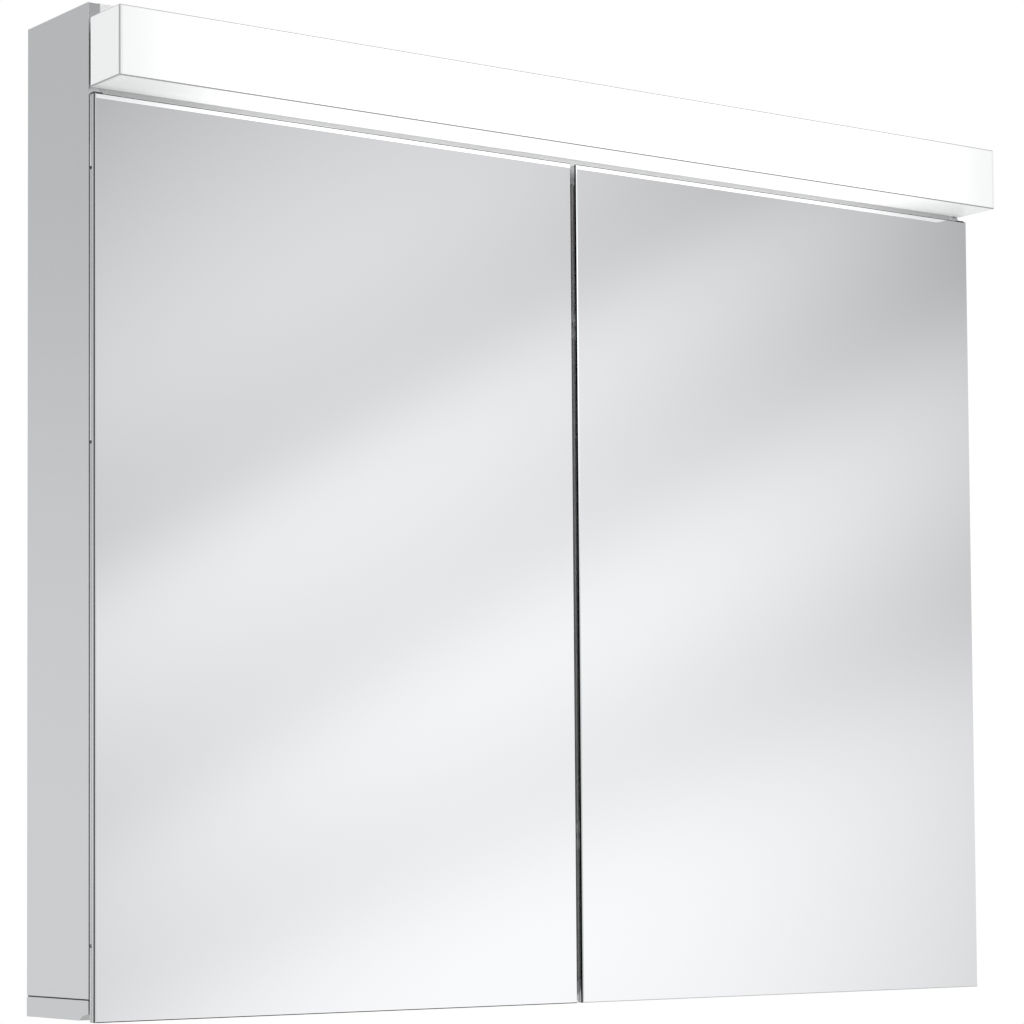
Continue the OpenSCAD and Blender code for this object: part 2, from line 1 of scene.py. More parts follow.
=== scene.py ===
import json
import math
import bmesh
import bpy
from mathutils import Matrix, Vector

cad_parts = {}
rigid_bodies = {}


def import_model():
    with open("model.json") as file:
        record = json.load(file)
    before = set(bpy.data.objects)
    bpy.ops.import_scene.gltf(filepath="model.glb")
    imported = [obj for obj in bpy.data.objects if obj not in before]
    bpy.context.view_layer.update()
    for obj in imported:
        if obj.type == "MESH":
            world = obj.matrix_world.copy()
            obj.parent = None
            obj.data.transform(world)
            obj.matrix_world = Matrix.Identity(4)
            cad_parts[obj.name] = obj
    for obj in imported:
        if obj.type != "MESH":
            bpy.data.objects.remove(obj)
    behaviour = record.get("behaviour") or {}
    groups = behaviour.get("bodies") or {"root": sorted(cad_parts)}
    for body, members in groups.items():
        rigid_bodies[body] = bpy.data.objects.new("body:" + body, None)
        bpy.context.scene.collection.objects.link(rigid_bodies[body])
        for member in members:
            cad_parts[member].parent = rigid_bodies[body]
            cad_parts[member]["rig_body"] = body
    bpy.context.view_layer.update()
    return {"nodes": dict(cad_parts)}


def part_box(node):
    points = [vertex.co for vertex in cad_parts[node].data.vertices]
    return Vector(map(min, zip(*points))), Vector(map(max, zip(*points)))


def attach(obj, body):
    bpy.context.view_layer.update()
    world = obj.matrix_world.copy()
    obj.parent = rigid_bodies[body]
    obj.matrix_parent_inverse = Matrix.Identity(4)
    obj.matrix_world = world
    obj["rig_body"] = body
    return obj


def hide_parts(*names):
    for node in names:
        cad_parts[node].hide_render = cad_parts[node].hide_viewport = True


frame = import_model()
MM = 0.001


# ---- Camera ----
# The cabinet is seen from its left and a little below its middle, with a long lens, so the
# uprights stay nearly upright. The lens is shifted up, as on a view camera.
def aim(yaw, pitch, roll):
    """A camera's turn in degrees: yaw from +Y to +X, pitch above the horizon, roll about its axis."""
    yaw, pitch, roll = math.radians(yaw), math.radians(pitch), math.radians(roll)
    ahead = Vector((math.sin(yaw), math.cos(yaw), 0))
    forward = math.cos(pitch) * ahead + math.sin(pitch) * Vector((0, 0, 1))
    level = Vector((math.cos(yaw), -math.sin(yaw), 0))
    up = level.cross(forward)
    right = math.cos(roll) * level + math.sin(roll) * up
    top = math.cos(roll) * up - math.sin(roll) * level
    return Matrix((right, top, -forward)).transposed()


camera = bpy.data.objects.new("camera", bpy.data.cameras.new("camera"))
camera.data.sensor_width = 36
camera.data.lens = 112.2
camera.data.shift_y = 0.16
camera.rotation_mode = "QUATERNION"
camera.rotation_quaternion = aim(yaw=35.67, pitch=3.17, roll=-0.415).to_quaternion()
camera.location = (-1.5847, -2.2253, -0.2618)
bpy.context.scene.collection.objects.link(camera)
bpy.context.scene.camera = camera
bpy.context.scene.view_settings.view_transform = "Standard"


# ---- Studio: surround, floor and lamps ----
# A white tent of soft fabric stands round the cabinet. Its light falls off away from a bright
# patch to the front right, and three soft folds in the fabric show as faint slanting bands.
def linear(code):
    """An sRGB hex colour such as "#c8cacc" as a linear RGBA tuple."""
    parts = [int(code[i:i + 2], 16) / 255 for i in (1, 3, 5)]
    return tuple(c / 12.92 if c <= 0.04045 else ((c + 0.055) / 1.055) ** 2.4 for c in parts) + (1,)


def add_node(tree, kind, inputs=None, **settings):
    """Adds a node with its settings. Each input is a value, or an output socket to link from."""
    made = tree.nodes.new(kind)
    for key, value in settings.items():
        setattr(made, key, value)
    for key, value in (inputs or {}).items():
        if isinstance(value, bpy.types.NodeSocket):
            tree.links.new(value, made.inputs[key])
        else:
            made.inputs[key].default_value = value
    return made


def sums(tree):
    """A function that adds a Math node to a tree and returns its output."""
    def do(operation, *values):
        return add_node(tree, "ShaderNodeMath", dict(enumerate(values)), operation=operation).outputs[0]
    return do


def tent_light(tree):
    """The tent's brightness by direction, from the heading off -Y towards +X and the height."""
    do = sums(tree)
    way = add_node(tree, "ShaderNodeTexCoord").outputs["Generated"]
    part = add_node(tree, "ShaderNodeSeparateXYZ", {0: way}).outputs
    heading = do("DEGREES", do("ARCTAN2", part[0], do("MULTIPLY", part[1], -1)))
    height = do("DEGREES", do("ARCSINE", part[2]))

    def offset(value, middle, size):
        return do("DIVIDE", do("SUBTRACT", value, middle), size)

    def bell(over, up):
        """Falls smoothly from 1 in the middle to 0 far outside."""
        return do("EXPONENT", do("MULTIPLY", do("MULTIPLY_ADD", over, over, do("MULTIPLY", up, up)), -1))

    # The bright patch, a smooth hump: it falls off with the squares of across and above, and
    # leans a little by the terms in across, above and both.
    patch_heading, patch_height, patch_size = 36, 5, 8
    across = offset(heading, patch_heading, patch_size)
    above = offset(height, patch_height, patch_size)
    fall = do("MULTIPLY", across, do("MULTIPLY_ADD", across, 0.202, 0.027))
    fall = do("MULTIPLY_ADD", above, do("MULTIPLY_ADD", above, 0.131, 0.143), fall)
    fall = do("MULTIPLY_ADD", do("MULTIPLY", across, above), -0.035, fall)
    patch = do("SUBTRACT", 0.965, fall)
    # The folds: each has a height, a slope, a depth, and a width below and above its middle.
    for middle, slope, depth, low_width, high_width in ((10.0, 0.55, 0.15, 1.28, 2.0),
                                                        (5.6, 0.6, 0.15, 1.6, 2.25),
                                                        (1.1, 0.42, 0.14, 1.75, 2.1)):
        crest = do("MULTIPLY_ADD", do("SUBTRACT", heading, patch_heading), slope, middle)
        off = do("SUBTRACT", height, crest)
        width = do("MULTIPLY_ADD", do("GREATER_THAN", off, 0), high_width - low_width, low_width)
        patch = do("MULTIPLY_ADD", bell(do("DIVIDE", off, width), 0), -depth, patch)
    # The rest of the tent, a little dimmer towards the top.
    rest = do("MULTIPLY_ADD", height, -0.004, 0.68)
    reach = 7
    near = bell(do("DIVIDE", across, reach), do("DIVIDE", above, reach))
    light = do("MULTIPLY_ADD", near, do("SUBTRACT", do("MAXIMUM", patch, 0.3), rest), rest)
    # A strip lamp at the left front, light and shade above it at the left back, and shade at
    # the right back.
    for spot_heading, spot_height, wide, tall, amount in ((-54, 9.5, 4, 3.5, 0.9),
                                                          (-150, 2, 45, 14, 0.155),
                                                          (-150, 12.3, 30, 4, -0.19),
                                                          (126, -4, 10, 5, -0.6)):
        spot = bell(offset(heading, spot_heading, wide), offset(height, spot_height, tall))
        light = do("MULTIPLY_ADD", spot, amount, light)
    return light


world = bpy.data.worlds.new("white_tent")
world.use_nodes = True
tree = world.node_tree
tree.nodes.clear()
tent = add_node(tree, "ShaderNodeBackground", {"Color": (0.987, 0.992, 1, 1),
                                               "Strength": tent_light(tree)})
backdrop = add_node(tree, "ShaderNodeBackground", {"Color": (1, 1, 1, 1), "Strength": 1})
seen = add_node(tree, "ShaderNodeLightPath").outputs["Is Camera Ray"]
chosen = add_node(tree, "ShaderNodeMixShader", {0: seen, 1: tent.outputs[0], 2: backdrop.outputs[0]})
add_node(tree, "ShaderNodeOutputWorld", {0: chosen.outputs[0]})
bpy.context.scene.world = world


def new_object(name, bm):
    """A mesh object at the origin from a bmesh, with its place in its mesh."""
    mesh = bpy.data.meshes.new(name)
    bm.to_mesh(mesh)
    bm.free()
    made = bpy.data.objects.new(name, mesh)
    bpy.context.scene.collection.objects.link(made)
    return made


def surface(name, colour, roughness, metallic=0.0, **sockets):
    """A material with one Principled shader. Returns it with its tree and shader."""
    made = bpy.data.materials.new(name)
    made.use_nodes = True
    tree = made.node_tree
    tree.nodes.clear()
    values = {"Base Color": linear(colour), "Roughness": roughness, "Metallic": metallic}
    values.update({key.replace("_", " "): value for key, value in sockets.items()})
    shader = add_node(tree, "ShaderNodeBsdfPrincipled", values)
    add_node(tree, "ShaderNodeOutputMaterial", {"Surface": shader.outputs[0]})
    return made, tree, shader


floor_bm = bmesh.new()
bmesh.ops.create_circle(floor_bm, cap_ends=True, segments=96, radius=5)
bmesh.ops.translate(floor_bm, verts=floor_bm.verts, vec=(0, 0, -1.5))
studio_floor = new_object("studio_floor", floor_bm)
studio_floor.data.materials.append(surface("studio_floor_paint", "#f4f4f3", 0.6)[0])


def lamp(name, place, target, size, watts):
    """A large square soft lamp."""
    data = bpy.data.lights.new(name, "AREA")
    data.size = size
    data.energy = watts
    made = bpy.data.objects.new(name, data)
    made.location = place
    made.rotation_mode = "QUATERNION"
    made.rotation_quaternion = (Vector(target) - Vector(place)).to_track_quat("-Z", "Y")
    bpy.context.scene.collection.objects.link(made)


lamp("top_lamp", (0, -0.6, 2.6), (0, 0, 0), 2.5, 40)


# ---- Side panels, bottom profile and light base: anodised aluminium ----
# The sides are flat aluminium profiles, sawn square, satin etched and silver anodised. Their
# inner faces are drilled for the shelf supports and hinges. Sawn edges are broken by 0.4 mm.
def copied(node):
    """A CAD node's mesh as a bmesh, with its loose triangles merged into whole faces."""
    bm = bmesh.new()
    bm.from_mesh(frame["nodes"][node].data)
    bmesh.ops.remove_doubles(bm, verts=bm.verts, dist=1e-6)
    bmesh.ops.dissolve_limit(bm, angle_limit=math.radians(0.5), verts=bm.verts, edges=bm.edges)
    return bm


def soften(bm, width, straight=True):
    """Breaks the outer sharp edges of a bmesh, and where straight is set, only the longer ones.
    The new faces get the second material."""
    sharp_from = math.radians(50)
    shortest = 4 * width if straight else 0

    def sharp(edge):
        return (edge.is_convex and edge.calc_face_angle() >= sharp_from
                and edge.calc_length() > shortest)
    edges = [edge for edge in bm.edges if sharp(edge)]
    bmesh.ops.bevel(bm, geom=edges, offset=width, segments=2, profile=0.5,
                    affect="EDGES", clamp_overlap=True, material=1)


def ride_for(piece, node):
    """Puts a new piece on a CAD node's body, in its place."""
    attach(piece, frame["nodes"][node]["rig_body"])
    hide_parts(node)


def dress(bm, node, materials):
    """Makes a bmesh the visible piece for a CAD node, with its curves shaded smooth."""
    # Broad faces stay flat, so the broken edges round them don't bend their shading.
    broad = 1.5 * MM
    for face in bm.faces:
        face.smooth = face.calc_area() < broad * face.calc_perimeter()
    curve = math.radians(25)
    for edge in bm.edges:
        edge.smooth = edge.is_manifold and edge.calc_face_angle() < curve
    piece = new_object(node + "_finished", bm)
    for finish in materials:
        piece.data.materials.append(finish)
    ride_for(piece, node)


def finished(node, width, *materials, straight=True):
    """The visible piece for a CAD node: its own shape, with its edges broken by width in mm. A
    second material, if there is one, goes on the broken edges."""
    bm = copied(node)
    soften(bm, width * MM, straight=straight)
    dress(bm, node, materials if len(materials) == 2 else materials * 2)


def grain(tree, shader, scale, rough, bump=0.0, bump_mm=0.05):
    """Fine noise in object space, scale cells to the metre. It moves the roughness between the
    two values in rough, and lifts the surface by up to bump_mm."""
    place = add_node(tree, "ShaderNodeTexCoord").outputs["Object"]
    noise = add_node(tree, "ShaderNodeTexNoise", {"Vector": place, "Scale": scale,
                                                  "Detail": 3.0, "Roughness": 0.6})
    spread = add_node(tree, "ShaderNodeMapRange", {"Value": noise.outputs["Fac"], "From Min": 0.3,
                                                   "From Max": 0.7, "To Min": rough[0],
                                                   "To Max": rough[1]})
    tree.links.new(spread.outputs[0], shader.inputs["Roughness"])
    if bump:
        lift = add_node(tree, "ShaderNodeBump", {"Height": noise.outputs["Fac"], "Strength": bump,
                                                 "Distance": bump_mm * MM})
        tree.links.new(lift.outputs[0], shader.inputs["Normal"])


# Satin etched and anodised to natural silver: an even, soft metal sheen with a very fine tooth.
anodised, tree, shader = surface("anodised_aluminium", "#e2e3e4", 0.3, metallic=1.0)
grain(tree, shader, 900, rough=(0.27, 0.33), bump=0.12, bump_mm=0.02)
# Where a sawn edge has been broken, the metal is smoother. Its paler colour is a painted highlight, the
# light that such an edge catches.
broken_edge_highlight, tree, shader = surface("anodised_aluminium_edge_highlight", "#f0f1f2", 0.25, metallic=1.0)
for side in ("left", "right"):
    finished("side_panel_" + side, 0.4, anodised, broken_edge_highlight)
finished("bottom_profile", 0.3, anodised, broken_edge_highlight)
finished("light_base_profile", 0.3, anodised, broken_edge_highlight)


# ---- End caps of the bottom profile ----
# Moulded ABS caps, lacquered aluminium silver over a fine spark-eroded texture. They plug into
# the bottom profile, with a narrow shadow line where they meet the side panels.
lacquered_abs, tree, shader = surface("silver_lacquered_abs", "#dedfe0", 0.33, metallic=1.0)
grain(tree, shader, 1400, rough=(0.30, 0.37), bump=0.2, bump_mm=0.02)
# The back of the shadow line takes a dark grey, unlit colour: painted shade, where little light gets in.
shadow_line_shade, _, _ = surface("shadow_line_painted_shade", "#3b3c3e", 0.6)
line_height = 0.9 * MM
line_from, line_to = 0.3 * MM, 1.3 * MM
for node in ("bottom_end_cap_left", "bottom_end_cap_right"):
    bm = copied(node)
    low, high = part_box(node)
    side_x = low.x if "left" in node else high.x
    soften(bm, 0.15 * MM)
    for face in bm.faces:
        middle = face.calc_center_median()
        inward = abs(middle.x - side_x)
        # Faces at the back of the shadow line get the painted shade.
        face.material_index = int(middle.z > high.z - line_height and line_from < inward < line_to)
    dress(bm, node, [lacquered_abs, shadow_line_shade])


# ---- Boards: top, service floor, partition and back ----
# Particle board faced with white melamine paper under heat and pressure. The paper is matt with
# a faint pearl texture, and its edges are banded with the same white.
melamine, tree, shader = surface("white_melamine_board", "#f1f1f0", 0.5, Specular_IOR_Level=0.4)
grain(tree, shader, 500, rough=(0.42, 0.55), bump=0.2, bump_mm=0.03)
for node in ("top_panel", "service_floor", "centre_partition", "back_panel"):
    finished(node, 0.5, melamine)


# ---- Fascia ----
# Folded aluminium sheet, powder coated white. Powder melts to a slightly uneven skin, the
# orange peel that softens its reflections.
powder, tree, shader = surface("white_powder_coat", "#f6f6f6", 0.4)
grain(tree, shader, 350, rough=(0.35, 0.45), bump=0.3, bump_mm=0.06)
finished("fascia", 0.4, powder)


# ---- Opal light box ----
# Four sides and a front of 3 mm opal acrylic, laser cut and glued at their edges. Light from the
# board spreads inside, so the front glows evenly, and it weakens past the last LEDs at the ends.
half_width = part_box("light_front_plate")[1].x


def opal_sheet(name, middle, end, reach):
    """Opal acrylic whose glow falls from middle to end over the last reach metres of the box."""
    made, tree, shader = surface(name, "#f4f5f5", 0.3, Emission_Strength=1.0)
    place = add_node(tree, "ShaderNodeTexCoord").outputs["Object"]
    part = add_node(tree, "ShaderNodeSeparateXYZ", {0: place}).outputs
    do = sums(tree)
    inward = do("SUBTRACT", half_width, do("ABSOLUTE", part[0]))
    glow = add_node(tree, "ShaderNodeMapRange", {"Value": inward, "From Min": 0.0, "From Max": reach,
                                                 "To Min": end, "To Max": middle},
                    interpolation_type="SMOOTHSTEP").outputs[0]
    grey = add_node(tree, "ShaderNodeCombineColor", {0: glow, 1: glow, 2: glow})
    tree.links.new(grey.outputs[0], shader.inputs["Emission Color"])
    return made


opal_front = opal_sheet("opal_acrylic_front", 0.85, 0.37, 0.14)
opal_under = opal_sheet("opal_acrylic_underside", 0.8, 0.33, 0.18)
opal_end, _, _ = surface("opal_acrylic_end", "#f2f3f3", 0.3, Emission_Color=(1, 1, 1, 1),
                         Emission_Strength=0.29)
# The chamfer along each corner is ground matt. It scatters light back into the sheet, so it
# shows as a fine grey line.
opal_ground, _, _ = surface("opal_acrylic_ground_edge", "#85878a", 0.5, Emission_Color=(1, 1, 1, 1),
                            Emission_Strength=0.24)
# The back edges of the end plates take a grey, unlit colour: painted shade for the dark gap between the
# light box and the side panels.
opal_shade_edge, _, _ = surface("opal_acrylic_shade_edge", "#8e8f90", 0.5)


def opal_plate(node, finish):
    """A plate of the light box, chamfered along the box's own corners, not at the glued joints."""
    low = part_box("light_end_plate_left")[0]
    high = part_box("light_end_plate_right")[1]
    # The box's outer faces, each as an axis and a place along it.
    outer = ((0, low.x), (0, high.x), (1, low.y), (2, low.z), (2, high.z))

    def lies_in(edge, axis, place):
        return all(abs(vert.co[axis] - place) < 0.01 * MM for vert in edge.verts)

    def on_corner(edge):
        return sum(lies_in(edge, axis, place) for axis, place in outer) > 1

    bm = copied(node)
    bmesh.ops.bevel(bm, geom=[edge for edge in bm.edges if on_corner(edge)], offset=1.0 * MM,
                    segments=1, profile=0.5, affect="EDGES", clamp_overlap=True, material=1)
    for face in bm.faces:
        # The back faces of the end plates get the painted shade.
        if finish is opal_end and face.normal.y > 0.9:
            face.material_index = 2
    dress(bm, node, [finish, opal_ground, opal_shade_edge])


opal_plate("light_front_plate", opal_front)
opal_plate("light_bottom_plate", opal_under)
opal_plate("light_top_plate", opal_under)
opal_plate("light_end_plate_left", opal_end)
opal_plate("light_end_plate_right", opal_end)


# ---- LED board and chips ----
# A strip of white-masked circuit board carries a row of surface-mounted LEDs. Each is a small
# case moulded in yellow phosphor, with a round well in front. The opal box closes them in.
def plain_finish(node, finish):
    """Gives a CAD node that keeps its shape its real finish."""
    for slot in frame["nodes"][node].material_slots:
        slot.material = finish


solder_mask, tree, shader = surface("white_solder_mask", "#eef0ec", 0.35)
grain(tree, shader, 700, rough=(0.3, 0.4))
finished("led_board", 0.1, solder_mask)
phosphor, _, _ = surface("led_phosphor", "#f2d98a", 0.3, Emission_Color=linear("#fff4d8"),
                         Emission_Strength=1.0)


def islands(node):
    """The separate solids of a CAD node, each as a list of points, in an order that never varies."""
    bm = bmesh.new()
    bm.from_mesh(frame["nodes"][node].data)
    bmesh.ops.remove_doubles(bm, verts=bm.verts, dist=1e-6)
    left = set(bm.verts)
    found = []
    while left:
        heap = [left.pop()]
        points = []
        while heap:
            vert = heap.pop()
            points.append(vert.co.copy())
            beside = [edge.other_vert(vert) for edge in vert.link_edges]
            fresh = [other for other in beside if other in left]
            left.difference_update(fresh)
            heap += fresh
        found.append(points)
    bm.free()
    return sorted(found, key=lambda points: tuple(round(value, 4) for value in corners(points)[0]))


def corners(points):
    """The lowest and highest corner of a box round some points."""
    low = Vector([min(point[axis] for point in points) for axis in range(3)])
    high = Vector([max(point[axis] for point in points) for axis in range(3)])
    return low, high


def new_tree(name, sockets):
    """A geometry node tree with named inputs, given as name: (kind of socket, value)."""
    tree = bpy.data.node_groups.new(name, "GeometryNodeTree")
    tree.interface.new_socket("Geometry", in_out="INPUT", socket_type="NodeSocketGeometry")
    tree.interface.new_socket("Geometry", in_out="OUTPUT", socket_type="NodeSocketGeometry")
    for key, (kind, value) in sockets.items():
        socket = tree.interface.new_socket(key, in_out="INPUT", socket_type="NodeSocket" + kind)
        if value is not None:
            socket.default_value = value
    return tree, add_node(tree, "NodeGroupInput").outputs


def close_tree(tree, copies, finish):
    """Ends a geometry node tree: makes the copies real and gives them their material."""
    real = add_node(tree, "GeometryNodeRealizeInstances", {"Geometry": copies.outputs[0]})
    coated = add_node(tree, "GeometryNodeSetMaterial", {"Geometry": real.outputs[0], "Material": finish})
    add_node(tree, "NodeGroupOutput", {"Geometry": coated.outputs[0]})


def baked(name, base, tree, values):
    """Runs a geometry node tree on a mesh and returns the result as a plain mesh object."""
    holder = bpy.data.objects.new(name + "_holder", base)
    bpy.context.scene.collection.objects.link(holder)
    modifier = holder.modifiers.new("build", "NODES")
    modifier.node_group = tree
    for item in tree.interface.items_tree:
        if item.in_out == "INPUT" and item.name in values:
            modifier[item.identifier] = values[item.name]
    bpy.context.view_layer.update()
    graph = bpy.context.evaluated_depsgraph_get()
    mesh = bpy.data.meshes.new_from_object(holder.evaluated_get(graph))
    bpy.data.objects.remove(holder)
    mesh.name = name
    made = bpy.data.objects.new(name, mesh)
    bpy.context.scene.collection.objects.link(made)
    return made


def point_mesh(name, points, directions=None):
    """A mesh of loose points, each with its heading if there are directions."""
    mesh = bpy.data.meshes.new(name)
    mesh.from_pydata(points, [], [])
    if directions:
        stored = mesh.attributes.new("heading", "FLOAT_VECTOR", "POINT")
        stored.data.foreach_set("vector", [value for d in directions for value in d])
    return mesh


chips = [corners(points) for points in islands("led_chips")]
chip = chips[0][1] - chips[0][0]
tree, given = new_tree("led_row", {"Case Width": ("Float", 0.0035), "Case Depth": ("Float", 0.0008),
                                   "Finish": ("Material", None)})
do = sums(tree)
case_size = add_node(tree, "ShaderNodeCombineXYZ", {0: given["Case Width"], 1: given["Case Depth"],
                                                    2: given["Case Width"]}).outputs[0]
case = add_node(tree, "GeometryNodeMeshCube", {"Size": case_size})
# The well's cutter lies 0.5 mm forward of the case's middle.
cutter = add_node(tree, "GeometryNodeMeshCylinder", {
    "Vertices": 20, "Radius": do("MULTIPLY", given["Case Width"], 0.36),
    "Depth": do("MULTIPLY", given["Case Depth"], 0.98)})
well = add_node(tree, "GeometryNodeTransform", {"Geometry": cutter.outputs["Mesh"],
                                                "Rotation": (math.pi / 2, 0, 0),
                                                "Translation": (0, -0.5 * MM, 0)})
cut = add_node(tree, "GeometryNodeMeshBoolean", {"Mesh 1": case.outputs["Mesh"]}, operation="DIFFERENCE")
tree.links.new(well.outputs[0], cut.inputs["Mesh 2"])
row = add_node(tree, "GeometryNodeInstanceOnPoints", {"Points": given["Geometry"],
                                                      "Instance": cut.outputs[0]})
close_tree(tree, row, given["Finish"])
led_row = baked("led_row", point_mesh("led_places", [(low + high) / 2 for low, high in chips]), tree,
                {"Case Width": chip.x, "Case Depth": chip.y, "Finish": phosphor})
ride_for(led_row, "led_chips")


# ---- Driver, terminal block, leads and grommet ----
# Bought-in electrics in the service compartment: white moulded PBT cases, leads with a soft
# white vinyl jacket, and a black rubber grommet pressed into the back panel's cable hole.
pbt, tree, shader = surface("moulded_pbt_white", "#ecedeb", 0.4)
grain(tree, shader, 1200, rough=(0.34, 0.46), bump=0.15, bump_mm=0.02)
vinyl, tree, shader = surface("white_vinyl_jacket", "#e9eaea", 0.45)
grain(tree, shader, 600, rough=(0.4, 0.5))
rubber, tree, shader = surface("black_rubber", "#1c1c1d", 0.6, Specular_IOR_Level=0.4)
grain(tree, shader, 900, rough=(0.52, 0.68), bump=0.2, bump_mm=0.03)
finished("led_driver", 0.8, pbt)
finished("terminal_block", 0.4, pbt)
for node in ("driver_lead", "led_lead", "switch_lead"):
    plain_finish(node, vinyl)
finished("cable_grommet", 0.5, rubber, straight=False)


# ---- Push-button switch ----
# A round snap-in switch under the service floor. The bezel is polished PBT and the button has a
# crowned top with a raised ring, so a finger finds it without looking.
def lathe(profile, centre, steps=64):
    """A closed solid of revolution about a vertical axis, from (radius, height) pairs."""
    bm = bmesh.new()
    rings = []
    for radius, height in profile:
        if radius == 0:
            rings.append([bm.verts.new((centre.x, centre.y, height))])
            continue
        rings.append([bm.verts.new((centre.x + radius * math.cos(2 * math.pi * i / steps),
                                    centre.y + radius * math.sin(2 * math.pi * i / steps), height))
                      for i in range(steps)])
    for low, high in zip(rings, rings[1:]):
        for i in range(steps):
            j = (i + 1) % steps
            face = [low[i % len(low)], low[j % len(low)], high[j % len(high)], high[i % len(high)]]
            bm.faces.new(list(dict.fromkeys(face)))
    bmesh.ops.recalc_face_normals(bm, faces=bm.faces)
    return bm


pbt_gloss, tree, shader = surface("polished_pbt_white", "#f2f3f2", 0.18)
low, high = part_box("switch_button")
radius = (high.x - low.x) / 2
rim_radius, rim_height = 0.8 * MM, 1.2 * MM
button = [(0, high.z), (radius, high.z), (radius, low.z + rim_height)]
for turn in (math.radians(30), math.radians(60), math.radians(90)):
    button.append((radius - rim_radius * (1 - math.cos(turn)),
                   low.z + rim_height - rim_radius * math.sin(turn)))
# The raised ring and the dish inside it, as distances in from the rim and up from the ring.
for inward, up in ((1.4, 0.1), (1.9, 0), (2.4, 0.1), (2.8, 0.5), (4, 0.7)):
    button.append((radius - inward * MM, low.z + up * MM))
button.append((0, low.z + 0.8 * MM))
dress(lathe(button, (low + high) / 2), "switch_button", [pbt_gloss])
finished("switch_housing", 0.5, pbt_gloss, straight=False)


# ---- Door frames ----
# Four lengths of anodised aluminium profile round each door, butted at the corners, with a fine
# shadow line rolled round the outside. The mirrors are glued to their front and back.
dark_abs, _, _ = surface("dark_grey_abs", "#5a5c5e", 0.5)
for side in ("left", "right"):
    for node in ("hinge_stile_", "closing_stile_", "door_rails_"):
        finished(node + side, 0.2, anodised, broken_edge_highlight)
    finished("stile_caps_" + side, 0.3, dark_abs)


# ---- Mirrors and door cores ----
# Float glass, silvered and painted on its back, glued to both sides of a foam board. The front
# edges are ground to a narrow arris. From the front only the silver shows, a bright metal.
silver, _, _ = surface("silvered_glass", "#fdfdfe", 0.0, metallic=1.0)
# The dark glass edge colour also serves as painted shade on the arris along some edges.
glass_edge_and_shade, _, _ = surface("ground_glass_edge_and_painted_shade", "#161a19", 0.25, Specular_IOR_Level=0.3)
arris, _, _ = surface("polished_arris", "#eef2f1", 0.08, metallic=1.0)
back_paint, tree, shader = surface("mirror_back_paint", "#6d7478", 0.55)
grain(tree, shader, 300, rough=(0.5, 0.6))
core_foam, tree, shader = surface("rigid_foam_board", "#8b8d8a", 0.8)
grain(tree, shader, 800, rough=(0.75, 0.85), bump=0.3, bump_mm=0.1)


def mirror(node, front, arris_width, shade_heights=()):
    """A silvered pane whose bright face looks along front in Y, with an arris round it. The arris
    is polished, but dark along the edges whose heights in Z are in shade_heights: painted shade."""
    bright, slanted, dark_edge, painted = range(4)
    bm = copied(node)
    for face in bm.faces:
        facing = face.normal.y * front
        face.material_index = bright if facing > 0.9 else painted if facing < -0.9 else dark_edge
    rim = [edge for edge in bm.edges
           if {face.material_index for face in edge.link_faces} == {bright, dark_edge}]
    bmesh.ops.bevel(bm, geom=rim, offset=arris_width, segments=1, profile=0.5, affect="EDGES",
                    clamp_overlap=True, material=slanted)
    # Painted shade: arris faces along the listed heights take the dark edge colour.
    for face in bm.faces:
        height = face.calc_center_median().z
        if face.material_index == slanted and any(abs(height - z) < arris_width for z in shade_heights):
            face.material_index = dark_edge
    dress(bm, node, [silver, arris, glass_edge_and_shade, back_paint])


# Painted shade on the arris along the top of both mirrors and the bottom of the left one.
low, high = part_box("mirror_left")
mirror("mirror_left", -1, 0.7 * MM, shade_heights=(low.z, high.z))
mirror("mirror_right", -1, 0.7 * MM, shade_heights=(high.z,))
for side in ("left", "right"):
    mirror("inner_mirror_" + side, 1, 0.5 * MM)
    finished("door_core_" + side, 0.2, core_foam)


# ---- Hinges, brackets and hanger plates ----
# Pressed and bent mild steel, zinc plated and clear passivated. The plating is bright, with a
# faint cloudiness from the bath.
zinc, tree, shader = surface("zinc_plated_steel", "#c9cccf", 0.3, metallic=1.0)
grain(tree, shader, 260, rough=(0.22, 0.4))
for node in ("hanger_plates", "corner_brackets"):
    finished(node, 0.25, zinc)
for side in ("left", "right"):
    finished("hinge_leaves_" + side, 0.08, zinc)
    finished("hinge_pins_" + side, 0.15, zinc, straight=False)


# ---- Screws ----
# Pan-head steel screws with a cross recess, cold headed, thread rolled and zinc plated. They
# hold the hinge leaves, brackets, catches, driver and light. The tree sets one at every place.
def screw_places():
    """Seat and outward heading of every screw, read from the solids of the CAD node."""
    seats, headings = [], []
    for points in islands("cabinet_screws"):
        low, high = corners(points)
        middle = (low + high) / 2
        axis = max(range(3), key=lambda i: (high - low)[i])
        arms = [point - middle for point in points]
        for arm in arms:
            arm[axis] = 0
        widest = max(arm.length for arm in arms)
        # The head's rim is the widest part, and its lower edge is the seat.
        rim = [point[axis] for point, arm in zip(points, arms) if arm.length > 0.9 * widest]
        outward = 1 if min(rim) > middle[axis] else -1
        heading = Vector((0, 0, 0))
        heading[axis] = outward
        seat = middle.copy()
        seat[axis] = min(rim) if outward > 0 else max(rim)
        seats.append(seat)
        headings.append(heading)
    return seats, headings


tree, given = new_tree("screws", {"Head Radius": ("Float", 0.0035), "Head Height": ("Float", 0.0016),
                                  "Shank Radius": ("Float", 0.0019), "Shank Length": ("Float", 0.0077),
                                  "Finish": ("Material", None)})
do = sums(tree)


def lifted(shape, height):
    """A mesh node's shape moved up."""
    shift = add_node(tree, "ShaderNodeCombineXYZ", {2: height}).outputs[0]
    return add_node(tree, "GeometryNodeTransform", {"Geometry": shape.outputs["Mesh"],
                                                    "Translation": shift}).outputs[0]


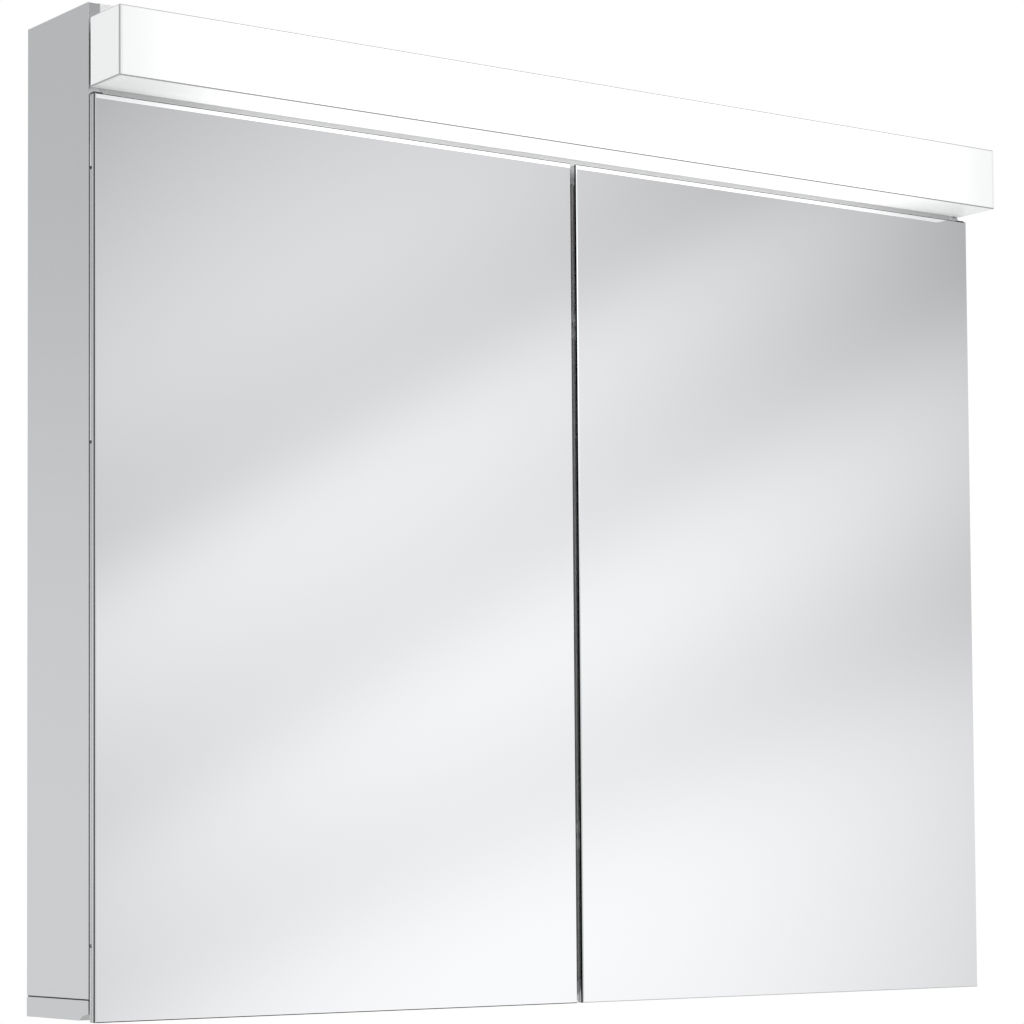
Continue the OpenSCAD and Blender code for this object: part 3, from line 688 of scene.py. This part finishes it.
drum = add_node(tree, "GeometryNodeMeshCylinder", {
    "Vertices": 32, "Radius": given["Head Radius"], "Depth": do("MULTIPLY", given["Head Height"], 0.6)})
crown = add_node(tree, "GeometryNodeMeshCone", {
    "Vertices": 32, "Side Segments": 1, "Radius Bottom": given["Head Radius"],
    "Radius Top": do("MULTIPLY", given["Head Radius"], 0.72),
    "Depth": do("MULTIPLY", given["Head Height"], 0.4)})
shank = add_node(tree, "GeometryNodeMeshCylinder", {
    "Vertices": 16, "Radius": given["Shank Radius"], "Depth": given["Shank Length"]})
whole = add_node(tree, "GeometryNodeMeshBoolean", operation="UNION", solver="EXACT")
for part, height in ((crown, do("MULTIPLY", given["Head Height"], 0.6)),
                     (drum, do("MULTIPLY", given["Head Height"], 0.3)),
                     (shank, do("MULTIPLY", given["Shank Length"], -0.499))):
    tree.links.new(lifted(part, height), whole.inputs["Mesh 2"])
recessed = add_node(tree, "GeometryNodeMeshBoolean", {"Mesh 1": whole.outputs[0]},
                    operation="DIFFERENCE", solver="EXACT")
# Two crossed blades cut the recess.
blade_length = do("MULTIPLY", given["Head Radius"], 0.95)
blade_width = do("MULTIPLY", given["Head Radius"], 0.24)
for long_axis in (0, 1):
    size = {long_axis: blade_length, 1 - long_axis: blade_width, 2: given["Head Height"]}
    size = add_node(tree, "ShaderNodeCombineXYZ", size).outputs[0]
    blade = add_node(tree, "GeometryNodeMeshCube", {"Size": size})
    tree.links.new(lifted(blade, do("MULTIPLY", given["Head Height"], 0.9)), recessed.inputs["Mesh 2"])
heading = add_node(tree, "GeometryNodeInputNamedAttribute", {"Name": "heading"}, data_type="FLOAT_VECTOR")
facing = add_node(tree, "FunctionNodeAlignRotationToVector", {"Vector": heading.outputs[0]}, axis="Z")
placed = add_node(tree, "GeometryNodeInstanceOnPoints", {"Points": given["Geometry"],
                                                         "Instance": recessed.outputs[0],
                                                         "Rotation": facing.outputs[0]})
close_tree(tree, placed, given["Finish"])
places = point_mesh("screw_places", *screw_places())
ride_for(baked("screw_set", places, tree, {"Finish": zinc}), "cabinet_screws")


# ---- Catches, strike plates and bumpers ----
# White moulded catches hold magnets against steel plates on the doors, and clear silicone
# bumpers stop the doors softly against the body.
silicone, _, _ = surface("clear_silicone", "#e6e9e9", 0.35, Transmission_Weight=0.5, IOR=1.41)
finished("magnet_catches", 0.5, pbt)
for side in ("left", "right"):
    finished("strike_plates_" + side, 0.15, zinc)
    finished("door_bumpers_" + side, 0.4, silicone, straight=False)


# ---- Glass shelves and their supports ----
# 5 mm clear float glass with ground and polished edges. The iron in the glass tints light that
# runs along the sheet, so the edges look green. The supports are zinc die castings.
shelf_glass, _, _ = surface("clear_float_glass", "#f3faf7", 0.0, Transmission_Weight=1.0, IOR=1.52)
shelf_edge, _, _ = surface("polished_glass_edge", "#9fc9bb", 0.1, Transmission_Weight=0.6, IOR=1.52)
for side in ("left", "right"):
    for level in (1, 2, 3):
        finished(f"shelf_{side}_{level}", 0.6, shelf_glass, shelf_edge)
    finished("shelf_supports_" + side, 0.3, zinc, straight=False)
